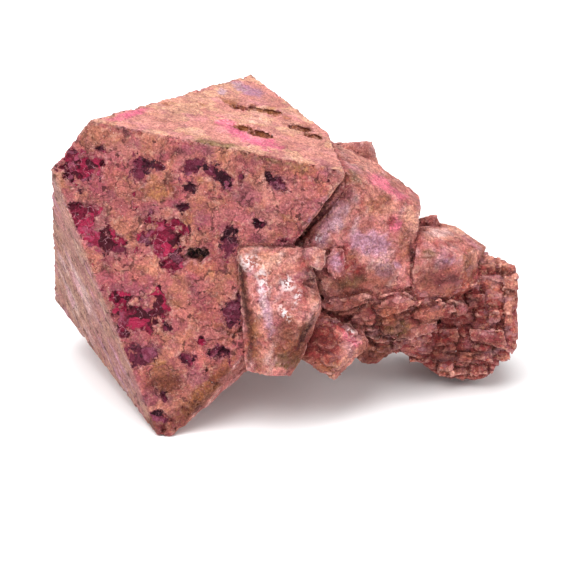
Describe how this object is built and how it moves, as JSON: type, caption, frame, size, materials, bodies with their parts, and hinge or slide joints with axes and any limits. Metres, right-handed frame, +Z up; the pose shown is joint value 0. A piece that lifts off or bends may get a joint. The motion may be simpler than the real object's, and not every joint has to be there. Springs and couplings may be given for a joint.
{
  "type": "spinel crystal",
  "caption": "Natural spinel crystal group: a large distorted octahedron with smaller crystals and a blocky stacked cluster grown into its right side; a display mineral specimen.",
  "frame": {"origin": "centre of the group's box, at its foot, on the surface it lies on", "axes": "+Z up, +X along the longest way, from the large octahedron to the small cluster, -Y is the side with the large flat front face"},
  "size_m": [0.066, 0.0492, 0.0399],
  "materials": {
    "spinel": "dull, slightly rough natural crystal faces with a tan-orange crust over ruby red"
  },
  "bodies": {
    "root": {"spinel_crystal": "spinel"}
  },
  "joints": []
}
